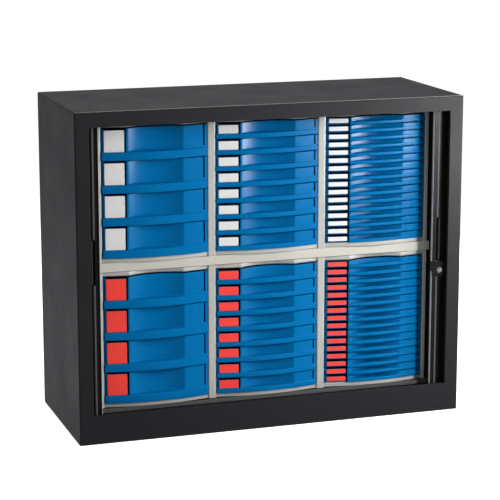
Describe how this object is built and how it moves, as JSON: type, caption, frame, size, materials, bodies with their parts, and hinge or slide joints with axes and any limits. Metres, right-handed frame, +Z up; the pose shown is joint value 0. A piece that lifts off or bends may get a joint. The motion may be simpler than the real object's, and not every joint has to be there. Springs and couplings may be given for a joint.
{
  "type": "multi-drawer cabinet",
  "caption": "Low steel cabinet with side-opening roll shutters, holding blocks of pull-out drawers with scooped, lipped fronts and blank label cards on a shelf and floor.",
  "frame": {"origin": "on the floor, under the middle of the cabinet", "axes": "+X to the right seen from the front, +Y towards the back, +Z up"},
  "size_m": [1.2, 0.48, 0.98],
  "materials": {
    "black_paint": "fine-textured satin powder coat, near black",
    "off_white_paint": "satin off-white powder coat",
    "grey_casing": "satin light warm grey moulding",
    "blue_drawer": "semi-gloss blue moulding",
    "dark_shutter": "satin near-black extruded plastic",
    "lock_chrome": "polished chrome"
  },
  "bodies": {
    "carcass": {"carcass": "black_paint", "back_panel": "black_paint", "shelf": "off_white_paint", "casing_deep_upper": "grey_casing", "casing_deep_lower": "grey_casing", "casing_medium_upper": "grey_casing", "casing_medium_lower": "grey_casing", "casing_slim_upper": "grey_casing", "casing_slim_lower": "grey_casing", "curtain_left": "dark_shutter", "curtain_right": "dark_shutter"},
    "shutter_left": {"lead_bar_left": "dark_shutter"},
    "shutter_right": {"lead_bar_right": "dark_shutter"},
    "lock": {"lock_barrel": "lock_chrome"},
    "drawer_deep_upper_1": {"drawer_deep_upper_1": "blue_drawer"},
    "drawer_deep_upper_2": {"drawer_deep_upper_2": "blue_drawer"},
    "drawer_deep_upper_3": {"drawer_deep_upper_3": "blue_drawer"},
    "drawer_deep_upper_4": {"drawer_deep_upper_4": "blue_drawer"},
    "drawer_deep_lower_1": {"drawer_deep_lower_1": "blue_drawer"},
    "drawer_deep_lower_2": {"drawer_deep_lower_2": "blue_drawer"},
    "drawer_deep_lower_3": {"drawer_deep_lower_3": "blue_drawer"},
    "drawer_deep_lower_4": {"drawer_deep_lower_4": "blue_drawer"},
    "drawer_medium_upper_1": {"drawer_medium_upper_1": "blue_drawer"},
    "drawer_medium_upper_2": {"drawer_medium_upper_2": "blue_drawer"},
    "drawer_medium_upper_3": {"drawer_medium_upper_3": "blue_drawer"},
    "drawer_medium_upper_4": {"drawer_medium_upper_4": "blue_drawer"},
    "drawer_medium_upper_5": {"drawer_medium_upper_5": "blue_drawer"},
    "drawer_medium_upper_6": {"drawer_medium_upper_6": "blue_drawer"},
    "drawer_medium_upper_7": {"drawer_medium_upper_7": "blue_drawer"},
    "drawer_medium_upper_8": {"drawer_medium_upper_8": "blue_drawer"},
    "drawer_medium_lower_1": {"drawer_medium_lower_1": "blue_drawer"},
    "drawer_medium_lower_2": {"drawer_medium_lower_2": "blue_drawer"},
    "drawer_medium_lower_3": {"drawer_medium_lower_3": "blue_drawer"},
    "drawer_medium_lower_4": {"drawer_medium_lower_4": "blue_drawer"},
    "drawer_medium_lower_5": {"drawer_medium_lower_5": "blue_drawer"},
    "drawer_medium_lower_6": {"drawer_medium_lower_6": "blue_drawer"},
    "drawer_medium_lower_7": {"drawer_medium_lower_7": "blue_drawer"},
    "drawer_medium_lower_8": {"drawer_medium_lower_8": "blue_drawer"},
    "drawer_slim_upper_1": {"drawer_slim_upper_1": "blue_drawer"},
    "drawer_slim_upper_2": {"drawer_slim_upper_2": "blue_drawer"},
    "drawer_slim_upper_4": {"drawer_slim_upper_4": "blue_drawer"},
    "drawer_slim_upper_5": {"drawer_slim_upper_5": "blue_drawer"},
    "drawer_slim_upper_7": {"drawer_slim_upper_7": "blue_drawer"},
    "drawer_slim_upper_8": {"drawer_slim_upper_8": "blue_drawer"},
    "drawer_slim_upper_10": {"drawer_slim_upper_10": "blue_drawer"},
    "drawer_slim_upper_11": {"drawer_slim_upper_11": "blue_drawer"},
    "drawer_slim_upper_13": {"drawer_slim_upper_13": "blue_drawer"},
    "drawer_slim_upper_14": {"drawer_slim_upper_14": "blue_drawer"},
    "drawer_slim_upper_16": {"drawer_slim_upper_16": "blue_drawer"},
    "drawer_slim_lower_1": {"drawer_slim_lower_1": "blue_drawer"},
    "drawer_slim_lower_2": {"drawer_slim_lower_2": "blue_drawer"},
    "drawer_slim_lower_4": {"drawer_slim_lower_4": "blue_drawer"},
    "drawer_slim_lower_5": {"drawer_slim_lower_5": "blue_drawer"},
    "drawer_slim_lower_7": {"drawer_slim_lower_7": "blue_drawer"},
    "drawer_slim_lower_8": {"drawer_slim_lower_8": "blue_drawer"},
    "drawer_slim_lower_10": {"drawer_slim_lower_10": "blue_drawer"},
    "drawer_slim_lower_11": {"drawer_slim_lower_11": "blue_drawer"},
    "drawer_slim_lower_13": {"drawer_slim_lower_13": "blue_drawer"},
    "drawer_slim_lower_14": {"drawer_slim_lower_14": "blue_drawer"},
    "drawer_slim_lower_16": {"drawer_slim_lower_16": "blue_drawer"}
  },
  "joints": [
    {"name": "shutter_left_slide", "type": "slide", "parent": "carcass", "child": "shutter_left", "axis": [-1, 0, 0], "range_m": [-0.5265, 0], "deforming": ["curtain_left"]},
    {"name": "shutter_right_slide", "type": "slide", "parent": "carcass", "child": "shutter_right", "axis": [1, 0, 0], "range_m": [-0.5125, 0], "deforming": ["curtain_right"]},
    {"name": "lock_turn", "type": "hinge", "parent": "shutter_right", "child": "lock", "pos_m": [0.5385, -0.2215, 0.443], "axis": [0, -1, 0], "range_deg": [0, 90]},
    {"name": "drawer_deep_upper_1_slide", "type": "slide", "parent": "carcass", "child": "drawer_deep_upper_1", "axis": [0, -1, 0], "range_m": [0, 0.26]},
    {"name": "drawer_deep_upper_2_slide", "type": "slide", "parent": "carcass", "child": "drawer_deep_upper_2", "axis": [0, -1, 0], "range_m": [0, 0.26]},
    {"name": "drawer_deep_upper_3_slide", "type": "slide", "parent": "carcass", "child": "drawer_deep_upper_3", "axis": [0, -1, 0], "range_m": [0, 0.26]},
    {"name": "drawer_deep_upper_4_slide", "type": "slide", "parent": "carcass", "child": "drawer_deep_upper_4", "axis": [0, -1, 0], "range_m": [0, 0.26]},
    {"name": "drawer_deep_lower_1_slide", "type": "slide", "parent": "carcass", "child": "drawer_deep_lower_1", "axis": [0, -1, 0], "range_m": [0, 0.26]},
    {"name": "drawer_deep_lower_2_slide", "type": "slide", "parent": "carcass", "child": "drawer_deep_lower_2", "axis": [0, -1, 0], "range_m": [0, 0.26]},
    {"name": "drawer_deep_lower_3_slide", "type": "slide", "parent": "carcass", "child": "drawer_deep_lower_3", "axis": [0, -1, 0], "range_m": [0, 0.26]},
    {"name": "drawer_deep_lower_4_slide", "type": "slide", "parent": "carcass", "child": "drawer_deep_lower_4", "axis": [0, -1, 0], "range_m": [0, 0.26]},
    {"name": "drawer_medium_upper_1_slide", "type": "slide", "parent": "carcass", "child": "drawer_medium_upper_1", "axis": [0, -1, 0], "range_m": [0, 0.26]},
    {"name": "drawer_medium_upper_2_slide", "type": "slide", "parent": "carcass", "child": "drawer_medium_upper_2", "axis": [0, -1, 0], "range_m": [0, 0.26]},
    {"name": "drawer_medium_upper_3_slide", "type": "slide", "parent": "carcass", "child": "drawer_medium_upper_3", "axis": [0, -1, 0], "range_m": [0, 0.26]},
    {"name": "drawer_medium_upper_4_slide", "type": "slide", "parent": "carcass", "child": "drawer_medium_upper_4", "axis": [0, -1, 0], "range_m": [0, 0.26]},
    {"name": "drawer_medium_upper_5_slide", "type": "slide", "parent": "carcass", "child": "drawer_medium_upper_5", "axis": [0, -1, 0], "range_m": [0, 0.26]},
    {"name": "drawer_medium_upper_6_slide", "type": "slide", "parent": "carcass", "child": "drawer_medium_upper_6", "axis": [0, -1, 0], "range_m": [0, 0.26]},
    {"name": "drawer_medium_upper_7_slide", "type": "slide", "parent": "carcass", "child": "drawer_medium_upper_7", "axis": [0, -1, 0], "range_m": [0, 0.26]},
    {"name": "drawer_medium_upper_8_slide", "type": "slide", "parent": "carcass", "child": "drawer_medium_upper_8", "axis": [0, -1, 0], "range_m": [0, 0.26]},
    {"name": "drawer_medium_lower_1_slide", "type": "slide", "parent": "carcass", "child": "drawer_medium_lower_1", "axis": [0, -1, 0], "range_m": [0, 0.26]},
    {"name": "drawer_medium_lower_2_slide", "type": "slide", "parent": "carcass", "child": "drawer_medium_lower_2", "axis": [0, -1, 0], "range_m": [0, 0.26]},
    {"name": "drawer_medium_lower_3_slide", "type": "slide", "parent": "carcass", "child": "drawer_medium_lower_3", "axis": [0, -1, 0], "range_m": [0, 0.26]},
    {"name": "drawer_medium_lower_4_slide", "type": "slide", "parent": "carcass", "child": "drawer_medium_lower_4", "axis": [0, -1, 0], "range_m": [0, 0.26]},
    {"name": "drawer_medium_lower_5_slide", "type": "slide", "parent": "carcass", "child": "drawer_medium_lower_5", "axis": [0, -1, 0], "range_m": [0, 0.26]},
    {"name": "drawer_medium_lower_6_slide", "type": "slide", "parent": "carcass", "child": "drawer_medium_lower_6", "axis": [0, -1, 0], "range_m": [0, 0.26]},
    {"name": "drawer_medium_lower_7_slide", "type": "slide", "parent": "carcass", "child": "drawer_medium_lower_7", "axis": [0, -1, 0], "range_m": [0, 0.26]},
    {"name": "drawer_medium_lower_8_slide", "type": "slide", "parent": "carcass", "child": "drawer_medium_lower_8", "axis": [0, -1, 0], "range_m": [0, 0.26]},
    {"name": "drawer_slim_upper_1_slide", "type": "slide", "parent": "carcass", "child": "drawer_slim_upper_1", "axis": [0, -1, 0], "range_m": [0, 0.26]},
    {"name": "drawer_slim_upper_2_slide", "type": "slide", "parent": "carcass", "child": "drawer_slim_upper_2", "axis": [0, -1, 0], "range_m": [0, 0.26]},
    {"name": "drawer_slim_upper_4_slide", "type": "slide", "parent": "carcass", "child": "drawer_slim_upper_4", "axis": [0, -1, 0], "range_m": [0, 0.26]},
    {"name": "drawer_slim_upper_5_slide", "type": "slide", "parent": "carcass", "child": "drawer_slim_upper_5", "axis": [0, -1, 0], "range_m": [0, 0.26]},
    {"name": "drawer_slim_upper_7_slide", "type": "slide", "parent": "carcass", "child": "drawer_slim_upper_7", "axis": [0, -1, 0], "range_m": [0, 0.26]},
    {"name": "drawer_slim_upper_8_slide", "type": "slide", "parent": "carcass", "child": "drawer_slim_upper_8", "axis": [0, -1, 0], "range_m": [0, 0.26]},
    {"name": "drawer_slim_upper_10_slide", "type": "slide", "parent": "carcass", "child": "drawer_slim_upper_10", "axis": [0, -1, 0], "range_m": [0, 0.26]},
    {"name": "drawer_slim_upper_11_slide", "type": "slide", "parent": "carcass", "child": "drawer_slim_upper_11", "axis": [0, -1, 0], "range_m": [0, 0.26]},
    {"name": "drawer_slim_upper_13_slide", "type": "slide", "parent": "carcass", "child": "drawer_slim_upper_13", "axis": [0, -1, 0], "range_m": [0, 0.26]},
    {"name": "drawer_slim_upper_14_slide", "type": "slide", "parent": "carcass", "child": "drawer_slim_upper_14", "axis": [0, -1, 0], "range_m": [0, 0.26]},
    {"name": "drawer_slim_upper_16_slide", "type": "slide", "parent": "carcass", "child": "drawer_slim_upper_16", "axis": [0, -1, 0], "range_m": [0, 0.26]},
    {"name": "drawer_slim_lower_1_slide", "type": "slide", "parent": "carcass", "child": "drawer_slim_lower_1", "axis": [0, -1, 0], "range_m": [0, 0.26]},
    {"name": "drawer_slim_lower_2_slide", "type": "slide", "parent": "carcass", "child": "drawer_slim_lower_2", "axis": [0, -1, 0], "range_m": [0, 0.26]},
    {"name": "drawer_slim_lower_4_slide", "type": "slide", "parent": "carcass", "child": "drawer_slim_lower_4", "axis": [0, -1, 0], "range_m": [0, 0.26]},
    {"name": "drawer_slim_lower_5_slide", "type": "slide", "parent": "carcass", "child": "drawer_slim_lower_5", "axis": [0, -1, 0], "range_m": [0, 0.26]},
    {"name": "drawer_slim_lower_7_slide", "type": "slide", "parent": "carcass", "child": "drawer_slim_lower_7", "axis": [0, -1, 0], "range_m": [0, 0.26]},
    {"name": "drawer_slim_lower_8_slide", "type": "slide", "parent": "carcass", "child": "drawer_slim_lower_8", "axis": [0, -1, 0], "range_m": [0, 0.26]},
    {"name": "drawer_slim_lower_10_slide", "type": "slide", "parent": "carcass", "child": "drawer_slim_lower_10", "axis": [0, -1, 0], "range_m": [0, 0.26]},
    {"name": "drawer_slim_lower_11_slide", "type": "slide", "parent": "carcass", "child": "drawer_slim_lower_11", "axis": [0, -1, 0], "range_m": [0, 0.26]},
    {"name": "drawer_slim_lower_13_slide", "type": "slide", "parent": "carcass", "child": "drawer_slim_lower_13", "axis": [0, -1, 0], "range_m": [0, 0.26]},
    {"name": "drawer_slim_lower_14_slide", "type": "slide", "parent": "carcass", "child": "drawer_slim_lower_14", "axis": [0, -1, 0], "range_m": [0, 0.26]},
    {"name": "drawer_slim_lower_16_slide", "type": "slide", "parent": "carcass", "child": "drawer_slim_lower_16", "axis": [0, -1, 0], "range_m": [0, 0.26]}
  ]
}
